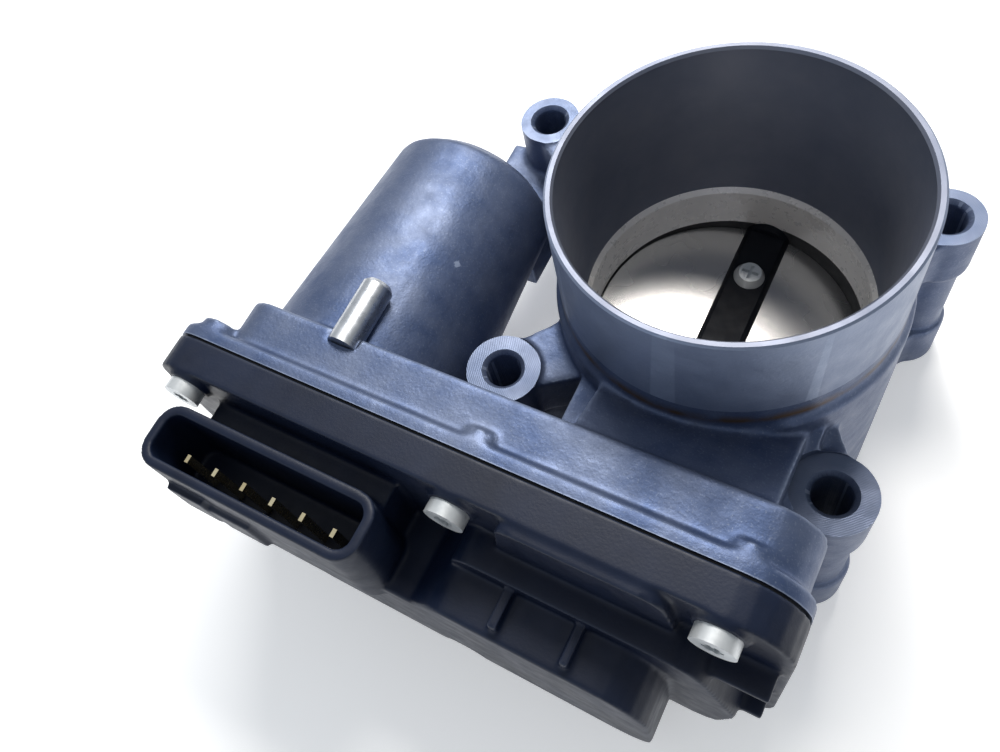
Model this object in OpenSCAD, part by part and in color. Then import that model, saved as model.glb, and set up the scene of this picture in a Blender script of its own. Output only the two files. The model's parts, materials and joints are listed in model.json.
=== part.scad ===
// Motor-driven throttle body.
// Origin: throttle bore axis on the engine flange face. +Z runs up the bore to the air inlet, the throttle
// shaft lies along Y, the gear cover is on the -Y side and the motor on the -X side. Millimetres.

/* [Bore and inlet] */
// Diameter of the throttle bore
bore_d = 50; // [49.6:0.1:50.4]
// Outer diameter of the inlet tube
inlet_od = 59; // [58.6:0.1:60]
// Inner diameter of the inlet tube at its rim
inlet_id = 56; // [55:0.1:56.4]
// Height of the inlet rim above the engine flange face
rim_z = 79.5; // [76:0.5:84]
// Height of the chamfer where the inlet tube narrows to the throttle bore
step_z = 43.4; // [41:0.1:46]
// Height of the shoulder between the inlet tube and the barrel
shoulder_z = 54; // [52.5:0.5:57]

/* [Throttle] */
// Height of the throttle shaft axis
shaft_z = 30; // [29.7:0.1:30.3]
// Diameter of the throttle shaft
shaft_d = 9; // [8.8:0.1:9.2]
// Tilt of the plate at rest, from square across the bore
rest_tilt = 6; // [3:1:9]
// Thickness of the throttle plate
plate_t = 2; // [1.6:0.1:2.2]
// Distance of each plate screw from the bore axis
plate_screw_y = 13; // [10:0.5:14]

/* [Flange and bolts] */
// Clearance hole for the mounting bolts
bolt_hole_d = 6.6; // [6.4:0.1:7]
// Height of the bolt lugs' top faces
lug_top_z = 45; // [42:0.5:46]
// Radius of the two bolt lugs beside the gear case
front_lug_r = 7.2; // [7:0.1:7.6]
// Radius of the two rear bolt lugs
rear_lug_r = 6.4; // [6.2:0.1:7]
// Thickness of the engine flange
flange_t = 12; // [10:0.5:13]

/* [Gear case and cover] */
// Left end of the gear case
case_left = -90; // [-91:0.5:-89.5]
// Right end of the gear case
case_right = 30.5; // [30:0.5:32]
// Top of the gear case
case_top = 58.8; // [58.8:0.1:60]
// Bottom of the gear case
case_bottom = 1.7; // [1.6:0.1:1.8]
// Wall thickness of the gear case
case_wall = 2.6; // [2.4:0.1:2.7]
// Outer radius of the motor housing at the gear case
housing_near_r = 22.8; // [22.4:0.1:23.4]
// Outer radius of the motor housing at its far end
housing_far_r = 19.3; // [19.1:0.1:20.4]

/* [Connector] */
// Number of terminals in the connector
pin_count = 6; // [4:1:6]
// Spacing of the terminals
pin_pitch = 6.86; // [6:0.01:7]

/* [Hidden] */
$fn = 96;
run = 0.05;                    // radial running clearance
eps = 0.02;                    // overlap that makes a cut break through
bore_r = bore_d / 2;
inlet_r = inlet_od / 2;
shaft_r = shaft_d / 2;
barrel_r = 30.6;
flange_seal_r = [26.8, 29];
arm_step = 0.4;                // the lugs' machined faces stand this far proud of their arms

// Mounting bolts: front left, front right, rear right, rear left
bolts = [[-32, -29.2], [28.5, -29.2], [30, 29.5], [-50, 29.5]];

// Levels along Y, from the back of the gear case forward to the front of the cover
case_back_y = -39;
floor_y = -42;
joint_y = -51.5;
gasket_t = 0.4;
cover_back_y = joint_y - gasket_t;
cover_flange_y = -59;
cover_pad_y = -61.2;
cover_shelf_y = -66;
cover_front_y = -75;
cover_wall = 2.5;
cover_floor = 2;               // thickness of the cover's flange in front of the gears
rib_t = 1.6;
lip_y = -48.6;
lip_w = 1.6;

// Gear train, in the XZ plane: first stage motor to idler, second stage idler to sector
first_module = 0.9;
pinion_teeth = 14;
idler_large_teeth = 46;
second_module = 1;
idler_small_teeth = 22;
sector_teeth = 49;
pressure_angle = 20;
shaft_axis = [0, shaft_z];
motor_axis = [-62, 34.5];
housing_axis = [-62.6, 34];
first_distance = first_module * (pinion_teeth + idler_large_teeth) / 2;
second_distance = second_module * (idler_small_teeth + sector_teeth) / 2;
motor_line = motor_axis - shaft_axis;
motor_distance = norm(motor_line);
along = (second_distance ^ 2 - first_distance ^ 2 + motor_distance ^ 2) / (2 * motor_distance);
beside = sqrt(second_distance ^ 2 - along ^ 2);
line_dir = motor_line / motor_distance;
idler_axis = shaft_axis + along * line_dir + beside * [line_dir[1], -line_dir[0]] * sign(line_dir[0]);
sector_to_idler = atan2(idler_axis[1] - shaft_axis[1], idler_axis[0] - shaft_axis[0]);
idler_to_motor = atan2(motor_axis[1] - idler_axis[1], motor_axis[0] - idler_axis[0]);

// Gear levels along Y
large_gear_y = [-48.4, -44.2];
sector_y = [-55.8, -49.9];
small_gear_y = [-55.9, -49.5];
insert_y = [-54, -52];
hub_front_y = -67;
throttle_travel = 79;
closing_travel = 5;

// Cover screws, in XZ
screw_top_z = 55.5;
screw_low_z = 6.8;
cover_screws = [[-83.6, screw_top_z], [-24.5, screw_top_z], [21, screw_top_z],
                [21, screw_low_z], [-24.5, screw_low_z - 0.6], [-72, screw_low_z]];
screw_boss_r = 3.7;
screw_r = 1.9;
screw_head_r = 3.7;
screw_head_h = 2.6;
screw_seat_y = cover_flange_y - 1;
lobe_back_y = -46.5;           // back of the threaded lobes behind the case's flange

// Bearings and seals on the throttle shaft
bearing_r = 10;
bearing_y = [-40, -34];
front_seal_r = 8;
front_seal_y = [-32, -28.5];
rear_seal_r = 7.5;
rear_seal_y = [28, 31];
cup_r = 6.5;
cup_y = [32, 40];
ball_r = 1.6;
ball_circle_r = 7.3;
ball_count = 10;
needle_r = 0.7;
needle_count = 18;

// Return spring
spring_mean_r = 10.4;
spring_wire_r = 0.5;
spring_turns = 5;
spring_y = [-48.9, -42.8];

// Sealing coat round the throttle plate
coat_z = [shaft_z - 3.5, shaft_z + 4];
coat_t = 0.3;

// Motor
can_r = 16.6;
can_wall = 1.2;
can_back_y = 11.5;
motor_end_y = 15;
motor_shaft_r = 1.6;
ear_r = 3.3;
ear_axes = [for (a = [110, 250]) motor_axis + 18.7 * [cos(a), sin(a)]];
terminal_x = -71;

// Stub pin on the back of the gear case
stub_axis = [-57.3, 57.8];
stub_r = 3.2;
stub_y = [case_back_y - 2.5, -27.2];

// Stop screw in the right wall of the gear case
stop_z = shaft_z - 12;
stop_tip_x = 8.1;
stop_y = -47.9;

// Connector shroud
shroud_x = [-84.5, -35];
shroud_y = [-77, -64];
shroud_z = [33, 57];
shroud_wall = 2;
socket_floor_z = 39;
pin_y = -72;
pin_tip_z = 52;
pin_first_x = (shroud_x[0] + shroud_x[1]) / 2 - pin_pitch * (pin_count - 1) / 2;

// ---------- helpers ----------

// Extrudes a shape drawn in X and Z between two levels of Y
module along_y(y_low, y_high) {
    translate([0, y_high, 0])
        rotate([90, 0, 0])
            linear_extrude(y_high - y_low)
                children();
}

// A round bar along Y, centred at p = [x, z]
module rod_y(p, r, y_low, y_high) {
    translate([p[0], y_high, p[1]])
        rotate([90, 0, 0])
            cylinder(r = r, h = y_high - y_low);
}

// A round bar along Y that changes radius from r_low at y_low to r_high at y_high
module taper_y(p, r_low, r_high, y_low, y_high) {
    translate([p[0], y_high, p[1]])
        rotate([90, 0, 0])
            cylinder(r1 = r_high, r2 = r_low, h = y_high - y_low);
}

module tube_y(p, r_out, r_in, y_low, y_high) {
    difference() {
        rod_y(p, r_out, y_low, y_high);
        rod_y(p, r_in, y_low - 1, y_high + 1);
    }
}

// A box from its low corner to its high corner
module block(low, high) {
    translate(low)
        cube(high - low);
}

// Points of the arc that rounds the corner b, between its neighbours a and c
function corner_arc(a, b, c, r, steps = 6) =
    let (
        u = (a - b) / norm(a - b),
        v = (c - b) / norm(c - b),
        half = acos(u * v) / 2,
        mid = b + (u + v) / norm(u + v) * r / sin(half),
        start = b + u * r / tan(half),
        turn = 180 - 2 * half,
        side = sign(u[0] * v[1] - u[1] * v[0]),
        from = atan2(start[1] - mid[1], start[0] - mid[0])
    )
    [for (i = [0 : steps])
        let (a = from - side * turn * i / steps)
        mid + r * [cos(a), sin(a)]];

// An outline whose corners, given as [x, z, radius], are rounded
function rounded_outline(corners) =
    let (n = len(corners), at = function (i) [corners[i % n][0], corners[i % n][1]])
    [for (i = [0 : n - 1]) each corner_arc(at(i + n - 1), at(i), at(i + 1), corners[i][2])];

// Gear case outline, grown by the given amount
function case_outline(grow) = rounded_outline([
    [case_left - grow, case_top + grow, 5 + grow],
    [case_right + grow, case_top + grow, 9 + grow],
    [case_right + grow, case_bottom - grow, 9 + grow],
    [case_left + 12, case_bottom - grow, 9 + grow],
    [case_left - grow, case_bottom + 14, 9 + grow]
]);

// Body of the gear case behind its flange, narrower than the flange at the left end
function body_outline(grow) = rounded_outline([
    [case_left + 8 - grow, case_top + grow, 7 + grow],
    [case_right + grow, case_top + grow, 9 + grow],
    [case_right + grow, case_bottom - grow, 9 + grow],
    [case_left + 14, case_bottom - grow, 9 + grow],
    [case_left + 8 - grow, case_bottom + 9, 7 + grow]
]);

// Raised dome of the cover, grown by the given amount
function dome_outline(grow) = rounded_outline([
    [-63 - grow, 34.2 + grow, 6 + grow],
    [-27 - grow, 34.2 + grow, 0.5],
    [-21 - grow, 41 + grow, 4 + grow],
    [13 + grow, 41 + grow, 7 + grow],
    [13 + grow, 9.4 - grow, 6 + grow],
    [-63 - grow, 9.4 - grow, 6 + grow]
]);

// Shelf between the cover's flange and its dome, over the throttle gear
function shelf_outline(grow) = rounded_outline([
    [-22 - grow, 45 + grow, 3 + grow],
    [17.5 + grow, 45 + grow, 5 + grow],
    [24.5 + grow, 24 + grow, 4 + grow],
    [21 + grow, 13 - grow, 4 + grow],
    [-22 - grow, 13 - grow, 3 + grow]
]);

// ---------- gears ----------

// Involute function, in degrees
function involute_deg(a) = tan(a) * 180 / PI - a;

// Half of a tooth's angle at radius r
function tooth_half(r, teeth, module_mm, backlash) =
    let (pitch_r = teeth * module_mm / 2, base_r = pitch_r * cos(pressure_angle))
    90 / teeth - backlash / pitch_r * 180 / PI
        + involute_deg(pressure_angle) - involute_deg(acos(min(1, base_r / r)));

// One tooth's outline, centred on the given angle, from its root round to its root
function tooth_points(centre, teeth, module_mm, backlash) =
    let (
        pitch_r = teeth * module_mm / 2,
        tip_r = pitch_r + 0.8 * module_mm,
        root_r = pitch_r - 1.1 * module_mm,
        start_r = max(root_r, pitch_r * cos(pressure_angle)),
        radii = concat([root_r], [for (i = [0 : 3]) start_r + 0.01 + (tip_r - start_r - 0.01) * i / 3]),
        flank = [for (r = radii) [r, tooth_half(r, teeth, module_mm, backlash)]]
    )
    concat(
        [for (f = flank) f[0] * [cos(centre - f[1]), sin(centre - f[1])]],
        [for (i = [len(flank) - 1 : -1 : 0])
            flank[i][0] * [cos(centre + flank[i][1]), sin(centre + flank[i][1])]]
    );

// A whole gear, with one tooth centred on the angle given
module gear_shape(teeth, module_mm, first_tooth, backlash = 0.05) {
    polygon([for (i = [0 : teeth - 1]) each
        tooth_points(first_tooth + 360 / teeth * i, teeth, module_mm, backlash)]);
}

// Phases, so that each pair is in mesh at rest: a tooth of one faces a gap of the other
sector_first_tooth = sector_to_idler;
small_gear_first_tooth = sector_to_idler + 180 + 180 / idler_small_teeth;
large_gear_first_tooth = idler_to_motor;
pinion_first_tooth = idler_to_motor + 180 + 180 / pinion_teeth;

// A screw's pillar, with the web that joins it to the nearer wall
module screw_pillar(p, y_low, y_high) {
    wall_z = p[1] > shaft_z ? case_top : case_bottom;
    rod_y(p, screw_boss_r, y_low, y_high);
    block([p[0] - 2.4, y_low, min(p[1], wall_z)], [p[0] + 2.4, y_high, max(p[1], wall_z)]);
}

// ---------- body casting ----------

module barrel_and_tube() {
    cylinder(r = barrel_r, h = shoulder_z - 2);
    translate([0, 0, shoulder_z - 2])
        cylinder(r1 = barrel_r, r2 = inlet_r, h = barrel_r - inlet_r);
    cylinder(r = inlet_r, h = rim_z);
}

function lug_r(p) = p[1] < 0 ? front_lug_r : rear_lug_r;

// The part of a lug that reaches from the bolt to the barrel, tapering to the lug's width
module lug_arm(p, width, end_width, z_low, z_high) {
    reach = norm(p);
    angle = atan2(p[1], p[0]);
    translate([0, 0, z_low])
        rotate(angle)
            linear_extrude(z_high - z_low)
                polygon([[20, -width], [reach, -end_width], [reach, end_width], [20, width]]);
}

module bolt_lug(p) {
    translate([p[0], p[1], 0])
        cylinder(r = lug_r(p), h = flange_t);
    translate([p[0], p[1], 0])
        cylinder(r = lug_r(p) - 1, h = lug_top_z - 1);
    translate([p[0], p[1], lug_top_z - 13])
        cylinder(r = lug_r(p), h = 13);
    lug_arm(p, 11, 4.9, 0, flange_t - arm_step);
    lug_arm(p, 5, 3.6, flange_t - 1, lug_top_z - 11);
    lug_arm(p, 8, 4.7, lug_top_z - 12, lug_top_z - arm_step);
}

module motor_housing() {
    taper_y(housing_axis, housing_near_r, housing_far_r, case_back_y - 1, motor_end_y - 3);
    taper_y(housing_axis, housing_far_r, housing_far_r - 3.5, motor_end_y - 3, motor_end_y);
    // foot that ties the housing to the rear left lug
    block([-60, 6, 14], [-46.5, 29, 34]);
}

module gear_case_shell() {
    along_y(joint_y, case_back_y)
        polygon(body_outline(0));
    along_y(joint_y, lip_y)
        polygon(case_outline(lip_w));
    for (p = cover_screws)
        rod_y(p, screw_boss_r + 0.9, joint_y, lobe_back_y);
}

// Solid metal between the gear case and the barrel, round the shaft
module shaft_bridge() {
    block([-17, case_back_y - 1, 6], [24, -18, 47]);
    translate([-12, 0, 0])
        rotate([90, 0, 90])
            linear_extrude(34)
                polygon([[case_back_y - 1, 46], [case_back_y - 1, case_top - 2], [-27, 52], [-20, 46]]);
    rod_y(shaft_axis, 14, case_back_y - 1, -20);
    rod_y(shaft_axis, 10, 20, 42);
}

module casting_hollows() {
    // throttle bore, chamfer ring and tapered inlet
    translate([0, 0, -1])
        cylinder(r = bore_r, h = step_z + 2);
    translate([0, 0, step_z])
        cylinder(r1 = bore_r, r2 = bore_r + 0.8, h = 1);
    translate([0, 0, step_z + 1 - eps])
        cylinder(r1 = bore_r + 0.8, r2 = inlet_id / 2, h = rim_z - step_z - 1 + 2 * eps);
    // recess for the sealing coat
    translate([0, 0, coat_z[0]])
        cylinder(r = bore_r + coat_t, h = coat_z[1] - coat_z[0]);
    // groove for the flange seal
    translate([0, 0, -1])
        difference() {
            cylinder(r = flange_seal_r[1], h = 3);
            translate([0, 0, -1])
                cylinder(r = flange_seal_r[0], h = 5);
        }
}

module shaft_line_hollows() {
    rod_y(shaft_axis, shaft_r + run, floor_y - 1, 41);
    rod_y(shaft_axis, front_seal_r, front_seal_y[0], front_seal_y[1]);
    rod_y(shaft_axis, bearing_r, floor_y - 1, bearing_y[1]);
    rod_y(shaft_axis, rear_seal_r, rear_seal_y[0], rear_seal_y[1]);
    rod_y(shaft_axis, cup_r, cup_y[0], cup_y[1] + 3);
}

module motor_hollows() {
    rod_y(motor_axis, can_r + 0.1, floor_y - 1, can_back_y + 1);
    for (p = ear_axes)
        rod_y(p, 1.5, floor_y - 1, floor_y + 8);
    rod_y(idler_axis, 2.5, floor_y - 1, case_back_y - 1);
}

module gear_case_hollow() {
    difference() {
        along_y(joint_y - 1, floor_y)
            polygon(body_outline(-case_wall));
        for (p = cover_screws)
            screw_pillar(p, joint_y - 2, floor_y + 1);
    }
}

module body_casting() {
    color("#8f98a6")
    difference() {
        union() {
            barrel_and_tube();
            for (p = bolts)
                bolt_lug(p);
            motor_housing();
            gear_case_shell();
            shaft_bridge();
        }
        casting_hollows();
        shaft_line_hollows();
        motor_hollows();
        gear_case_hollow();
        for (p = bolts) {
            translate([p[0], p[1], -1])
                cylinder(d = bolt_hole_d, h = lug_top_z + 2);
            translate([p[0], p[1], lug_top_z - 0.9])
                cylinder(r1 = bolt_hole_d / 2, r2 = bolt_hole_d / 2 + 1, h = 1);
        }
        for (p = cover_screws)
            rod_y(p, screw_r + 0.1, joint_y - 1, lobe_back_y + 1);
        rod_y(stub_axis, stub_r, stub_y[0], stub_y[1] + 1);
        // hole for the stop screw, through the right wall of the gear case
        translate([20, stop_y, stop_z])
            rotate([0, 90, 0])
                cylinder(r = 2, h = 20);
    }
}

// ---------- pieces fixed to the casting ----------

module bore_seal_coat() {
    color("#17181a")
    difference() {
        translate([0, 0, coat_z[0]])
            cylinder(r = bore_r + coat_t, h = coat_z[1] - coat_z[0]);
        translate([0, 0, coat_z[0] - 1])
            cylinder(r = bore_r, h = coat_z[1] - coat_z[0] + 2);
        rod_y(shaft_axis, shaft_r + run, -40, 40);
    }
}

module flange_seal() {
    color("#26282b")
    difference() {
        cylinder(r = flange_seal_r[1], h = 2);
        translate([0, 0, -1])
            cylinder(r = flange_seal_r[0], h = 4);
    }
}

module stub_pin() {
    color("#a9adb3") {
        rod_y(stub_axis, stub_r, stub_y[0], stub_y[1] - 0.8);
        taper_y(stub_axis, stub_r, stub_r - 0.6, stub_y[1] - 0.8, stub_y[1]);
    }
}

module end_plug() {
    color("#9aa0a6")
        rod_y(shaft_axis, cup_r, cup_y[1] + 0.6, cup_y[1] + 1.8);
}

module stop_screw() {
    color("#b9bdc2")
    difference() {
        translate([stop_tip_x, stop_y, stop_z])
            rotate([0, 90, 0])
                cylinder(r = 2, h = case_right + 1.2 - stop_tip_x);
        translate([case_right - 1.2, stop_y, stop_z])
            rotate([0, 90, 0])
                cylinder(r = 1.1, h = 4, $fn = 6);
    }
}

// ---------- bearings and seals ----------

module front_bearing_outer_race() {
    color("#c3c7cc")
        tube_y(shaft_axis, bearing_r, ball_circle_r + ball_r + 0.1, bearing_y[0], bearing_y[1]);
}

module front_bearing_inner_race() {
    color("#c3c7cc")
        tube_y(shaft_axis, ball_circle_r - ball_r - 0.1, shaft_r, bearing_y[0], bearing_y[1]);
}

module front_bearing_balls() {
    color("#d9dce0")
    for (i = [0 : ball_count - 1])
        translate([ball_circle_r * cos(360 / ball_count * i), (bearing_y[0] + bearing_y[1]) / 2,
                   shaft_z + ball_circle_r * sin(360 / ball_count * i)])
            sphere(r = ball_r, $fn = 32);
}

module rear_needle_cup() {
    color("#bfc3c8")
        tube_y(shaft_axis, cup_r, shaft_r + 2 * needle_r + 0.1, cup_y[0], cup_y[1]);
}

module rear_needles() {
    color("#d9dce0")
    for (i = [0 : needle_count - 1])
        let (a = 360 / needle_count * i)
            rod_y(shaft_axis + (shaft_r + needle_r + 0.05) * [cos(a), sin(a)],
                  needle_r, cup_y[0] + 1, cup_y[1] - 1);
}

module front_shaft_seal() {
    color("#2a2b2d")
        tube_y(shaft_axis, front_seal_r, shaft_r + run, front_seal_y[0], front_seal_y[1]);
}

module rear_shaft_seal() {
    color("#2a2b2d")
        tube_y(shaft_axis, rear_seal_r, shaft_r + run, rear_seal_y[0], rear_seal_y[1]);
}

// ---------- return spring ----------

module spring_guide() {
    color("#3a3d42")
        tube_y(shaft_axis, 9.6, 8.4, -49.4, bearing_y[0]);
}

// Ring of points round the spring wire at angle t of its coil
function spring_ring(t, y) = [for (k = [0 : 7])
    let (r = spring_mean_r + spring_wire_r * cos(45 * k))
    [r * cos(t), y + spring_wire_r * sin(45 * k), shaft_z + r * sin(t)]];

module return_spring() {
    steps = spring_turns * 16;
    rings = [for (i = [0 : steps]) spring_ring(360 * spring_turns * i / steps,
                spring_y[0] + (spring_y[1] - spring_y[0]) * i / steps)];
    sides = [for (i = [0 : steps - 1], k = [0 : 7])
        [i * 8 + k, i * 8 + (k + 1) % 8, (i + 1) * 8 + (k + 1) % 8, (i + 1) * 8 + k]];
    first_end = [[for (k = [7 : -1 : 0]) k]];
    last_end = [[for (k = [0 : 7]) steps * 8 + k]];
    color("#6f747a")
        polyhedron([for (r = rings) each r], concat(sides, first_end, last_end), convexity = 8);
}

// ---------- idler ----------

module idler_pin() {
    color("#c9ccd0")
        rod_y(idler_axis, 2.5, -69, case_back_y - 1);
}

module idler_gear() {
    color("#d8d3c3")
    difference() {
        union() {
            along_y(large_gear_y[0], large_gear_y[1])
                translate(idler_axis)
                    gear_shape(idler_large_teeth, first_module, large_gear_first_tooth);
            along_y(small_gear_y[0], small_gear_y[1])
                translate(idler_axis)
                    gear_shape(idler_small_teeth, second_module, small_gear_first_tooth);
            rod_y(idler_axis, 7, small_gear_y[0], large_gear_y[1]);
            rod_y(idler_axis, 5, large_gear_y[0], -42.6);
        }
        rod_y(idler_axis, 2.5 + run, -60, -40);
    }
}

// ---------- throttle ----------

// Places what is drawn square across the bore at its rest tilt
module at_rest_tilt() {
    translate([0, 0, shaft_z])
        rotate([0, rest_tilt, 0])
            children();
}

module throttle_shaft() {
    color("#1d1e20")
    at_rest_tilt()
        difference() {
            rod_y([0, 0], shaft_r, -58, 39.5);
            // slot for the plate, flat for the screw heads and the screws' holes
            block([-10, -bore_r + 0.1, -plate_t / 2], [10, bore_r - 0.1, plate_t / 2]);
            block([-10, -bore_r + 1.5, 3], [10, bore_r - 1.5, 10]);
            for (side = [-1, 1])
                translate([0, side * plate_screw_y, -10])
                    cylinder(r = 1.6, h = 20);
        }
}

module throttle_plate() {
    color("#b5b0a6")
    at_rest_tilt()
        difference() {
            translate([0, 0, -plate_t / 2])
                cylinder(r = bore_r - 0.1, h = plate_t);
            for (side = [-1, 1])
                translate([0, side * plate_screw_y, -10])
                    cylinder(r = 1.6, h = 20);
        }
}

module plate_screws() {
    color("#cfd0cf")
    at_rest_tilt()
        for (side = [-1, 1])
            translate([0, side * plate_screw_y, 0])
                difference() {
                    union() {
                        translate([0, 0, -shaft_r + 0.2])
                            cylinder(r = 1.6, h = shaft_r + 3);
                        translate([0, 0, 3])
                            cylinder(r1 = 3, r2 = 2.2, h = 1.6);
                    }
                    for (a = [0, 90])
                        rotate(a)
                            block([-1.6, -0.3, 3.6], [1.6, 0.3, 6]);
                }
}

// Angles of the toothed arc, so that it stays in mesh over the whole travel
arc_from = sector_to_idler - closing_travel - 9;
arc_to = sector_to_idler + throttle_travel + 9;

module sector_shape() {
    tooth_step = 360 / sector_teeth;
    first = ceil((arc_from - sector_first_tooth) / tooth_step);
    last = floor((arc_to - sector_first_tooth) / tooth_step);
    polygon(concat([[0, 0]], [for (i = [first : last]) each
        tooth_points(sector_first_tooth + tooth_step * i, sector_teeth, second_module, 0.05)]));
    circle(r = 10.2);
    rotate(-70)
        translate([0, -2])
            square([14, 4]);
}

module sector_gear() {
    color("#3b3e43")
    difference() {
        union() {
            along_y(sector_y[0], sector_y[1])
                translate(shaft_axis)
                    sector_shape();
            rod_y(shaft_axis, 8.5, hub_front_y, sector_y[0] + 1);
            along_y(sector_y[1] - 1, stop_y + 1.4)
                translate(shaft_axis)
                    rotate(-70)
                        translate([11.3, -2])
                            square([2.7, 4]);
        }
        rod_y(shaft_axis, shaft_r, -58, -40);
        rod_y(shaft_axis, 6.8, hub_front_y - 1, -58.5);
        along_y(insert_y[0], insert_y[1])
            translate(shaft_axis)
                insert_shape();
        // lightening pocket in the web
        along_y(-60, -54.4)
            translate(shaft_axis)
                intersection() {
                    difference() {
                        circle(r = 20.5);
                        circle(r = 12);
                    }
                    polygon([[0, 0], 40 * [cos(arc_from + 12), sin(arc_from + 12)],
                             40 * [cos(sector_to_idler + 37), sin(sector_to_idler + 37)],
                             40 * [cos(arc_to - 12), sin(arc_to - 12)]]);
                }
    }
}

module insert_shape() {
    circle(r = 7.6);
    for (a = [60, 180, 300])
        rotate(a)
            translate([0, -1.6])
                square([9.2, 3.2]);
}

module sector_insert() {
    color("#8b9096")
    difference() {
        along_y(insert_y[0], insert_y[1])
            translate(shaft_axis)
                insert_shape();
        rod_y(shaft_axis, shaft_r, -60, -40);
    }
}

module sensor_magnets() {
    color("#55585d")
    difference() {
        tube_y(shaft_axis, 6.8, 5.6, -66, -59);
        block([-10, -70, shaft_z - 1], [10, -50, shaft_z + 1]);
    }
}

// ---------- motor, fixed pieces ----------

module motor_can() {
    color("#9aa0a5")
    difference() {
        union() {
            rod_y(motor_axis, can_r, floor_y + 3, can_back_y - 1.5);
            rod_y(motor_axis, 5.2, can_back_y - 2, can_back_y);
        }
        rod_y(motor_axis, can_r - can_wall, floor_y, can_back_y - 2.7);
        rod_y(motor_axis, 3.6, 0, can_back_y - 0.8);
    }
}

module motor_magnets() {
    color("#4a4c50")
    difference() {
        tube_y(motor_axis, can_r - can_wall, 13.4, -26, 3);
        block([motor_axis[0] - 30, -40, motor_axis[1] - 4], [motor_axis[0] + 30, 20, motor_axis[1] + 4]);
    }
}

module motor_rear_bush() {
    color("#a5784a")
        tube_y(motor_axis, 3.6, motor_shaft_r + run, can_back_y - 4.4, can_back_y - 0.8);
}

module motor_wave_washer() {
    color("#b9bdc2")
        tube_y(motor_axis, 14, 7, can_back_y - 1.5, can_back_y - 0.9);
}

module motor_end_plate() {
    color("#aab0b5")
    difference() {
        union() {
            rod_y(motor_axis, can_r, floor_y, floor_y + 3);
            for (p = ear_axes)
                rod_y(p, ear_r, floor_y - 1.4, floor_y);
            rod_y(motor_axis, 15, floor_y - 1.4, floor_y + eps);
            for (a = [110, 250])
                translate([motor_axis[0], 0, motor_axis[1]])
                    rotate([0, -a, 0])
                        block([10, floor_y - 1.4, -ear_r + 0.5], [18.7, floor_y, ear_r - 0.5]);
        }
        rod_y(motor_axis, 4, floor_y - 3, floor_y + 4);
        for (p = ear_axes)
            rod_y(p, 1.6, floor_y - 3, floor_y + 4);
        for (side = [-1, 1])
            block([-73, floor_y - 3, motor_axis[1] + 5 * side - 2.2],
                  [-69, floor_y + 4, motor_axis[1] + 5 * side + 2.2]);
    }
}

module motor_front_bush() {
    color("#a5784a")
        tube_y(motor_axis, 4, motor_shaft_r + run, floor_y - 1.4, floor_y + 2.4);
}

module brush_holder() {
    color("#2f3a33")
    difference() {
        tube_y(motor_axis, can_r - can_wall, 6.4, floor_y + 3, floor_y + 5);
        for (side = [-1, 1])
            block([-73, -60, motor_axis[1] + 5 * side - 2.2], [-69, 0, motor_axis[1] + 5 * side + 2.2]);
    }
}

module motor_brushes() {
    color("#2b2b2b")
    for (side = [-1, 1])
        block([motor_axis[0] - 2, floor_y + 5, motor_axis[1] + side * 8.6 - 3.2],
              [motor_axis[0] + 2, floor_y + 9.5, motor_axis[1] + side * 8.6 + 3.2]);
}

module motor_terminals() {
    color("#b08d57")
    for (side = [-1, 1])
        block([terminal_x - 0.4, -55.2, motor_axis[1] + 5 * side - 1.6],
              [terminal_x + 0.4, floor_y + 5, motor_axis[1] + 5 * side + 1.6]);
}

module motor_screws() {
    color("#bfc2c6")
    for (p = ear_axes) {
        rod_y(p, 1.5, floor_y - 2, floor_y + 6);
        rod_y(p, 3, floor_y - 3.4, floor_y - 1.4);
    }
}

// ---------- motor, turning pieces ----------

module motor_shaft() {
    color("#c9ccd0")
        rod_y(motor_axis, motor_shaft_r, -49.4, can_back_y - 1.2);
}

module armature_stack() {
    slots = 5;
    color("#6a6d72")
    difference() {
        tube_y(motor_axis, 13, motor_shaft_r, -24, 1);
        for (i = [0 : slots - 1])
            translate([motor_axis[0], 0, motor_axis[1]])
                rotate([0, 360 / slots * i, 0]) {
                    block([4, -25, -1.2], [14, 2, 1.2]);
                    block([6, -25, -3.6], [11, 2, 3.6]);
                }
    }
}

module armature_windings() {
    slots = 5;
    color("#b4682e")
    for (i = [0 : slots - 1])
        translate([motor_axis[0], 0, motor_axis[1]])
            rotate([0, 360 / slots * i, 0])
                block([6, -25.6, -3.5], [10.9, 2.6, 3.5]);
}

module commutator() {
    color("#b87945")
        tube_y(motor_axis, 5.2, motor_shaft_r, floor_y + 4.6, -26.4);
}

module motor_pinion() {
    color("#b9a06a")
    difference() {
        along_y(-48.8, -44)
            translate(motor_axis)
                gear_shape(pinion_teeth, first_module, pinion_first_tooth);
        rod_y(motor_axis, motor_shaft_r, -60, -40);
    }
}

// ---------- cover ----------

module connector_block() {
    shroud_low = [shroud_x[0], shroud_y[0], shroud_z[0]];
    shroud_high = [shroud_x[1], shroud_y[1], shroud_z[1]];
    difference() {
        union() {
            translate([0, 0, shroud_low[2]])
                linear_extrude(shroud_high[2] - shroud_low[2])
                    stadium(shroud_x, shroud_y, 4.5);
            block([shroud_x[0] + 6, shroud_y[1] - 2, 34], [shroud_x[1] - 2, cover_flange_y + 1, 51]);
        }
        translate([0, 0, socket_floor_z])
            linear_extrude(40)
                stadium([shroud_x[0] + shroud_wall, shroud_x[1] - shroud_wall],
                        [shroud_y[0] + shroud_wall, shroud_y[1] - shroud_wall], 2.6);
    }
    // lock ramp on the front of the shroud, in two steps
    block([-79, shroud_y[0] - 1.5, 40], [-70.3, shroud_y[0] + 0.5, 50]);
    block([-70.5, shroud_y[0] - 1.2, 36], [-60.5, shroud_y[0] + 0.5, 47]);
}

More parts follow.
